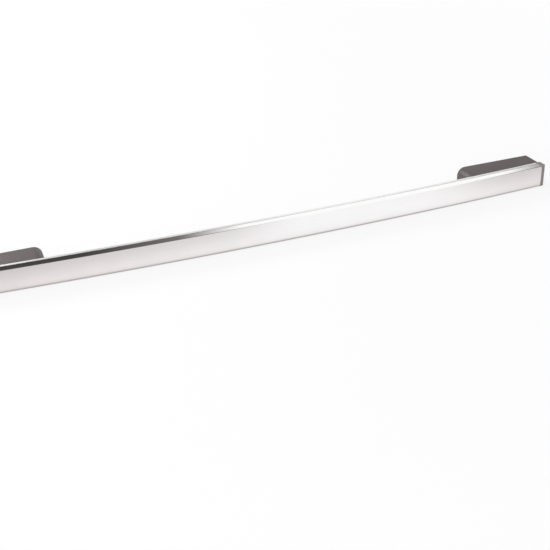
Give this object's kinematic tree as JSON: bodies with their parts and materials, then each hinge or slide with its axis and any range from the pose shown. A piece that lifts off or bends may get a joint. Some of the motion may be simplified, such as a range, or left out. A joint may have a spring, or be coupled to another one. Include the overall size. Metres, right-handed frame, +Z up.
{
  "type": "refrigerator door handle",
  "caption": "Long bowed bar handle for a refrigerator door: satin aluminium bar with capped ends on moulded feet that slide over door studs.",
  "frame": {"origin": "on the door's face, midway between the axes of the two door sockets", "axes": "+X along the bar, +Y at the door, +Z up as the handle lies on its lower long edge, which stands upright on a door"},
  "size_m": [0.6118, 0.0415, 0.024],
  "materials": {
    "satin_aluminium": "satin",
    "foot_plastic": "matte",
    "cap_plastic": "satin",
    "die_cast_zinc": "satin",
    "zinc_plated_steel": "satin",
    "black_steel": "satin"
  },
  "bodies": {
    "root": {"bar": "satin_aluminium", "right_end_cap": "cap_plastic", "right_foot": "foot_plastic", "right_socket_block": "die_cast_zinc", "right_grub_screw": "black_steel", "right_nut_plate": "zinc_plated_steel", "right_inner_screw": "zinc_plated_steel", "right_inner_washer": "zinc_plated_steel", "right_outer_screw": "zinc_plated_steel", "right_outer_washer": "zinc_plated_steel", "left_end_cap": "cap_plastic", "left_foot": "foot_plastic", "left_socket_block": "die_cast_zinc", "left_grub_screw": "black_steel", "left_nut_plate": "zinc_plated_steel", "left_inner_screw": "zinc_plated_steel", "left_inner_washer": "zinc_plated_steel", "left_outer_screw": "zinc_plated_steel", "left_outer_washer": "zinc_plated_steel"}
  },
  "joints": []
}
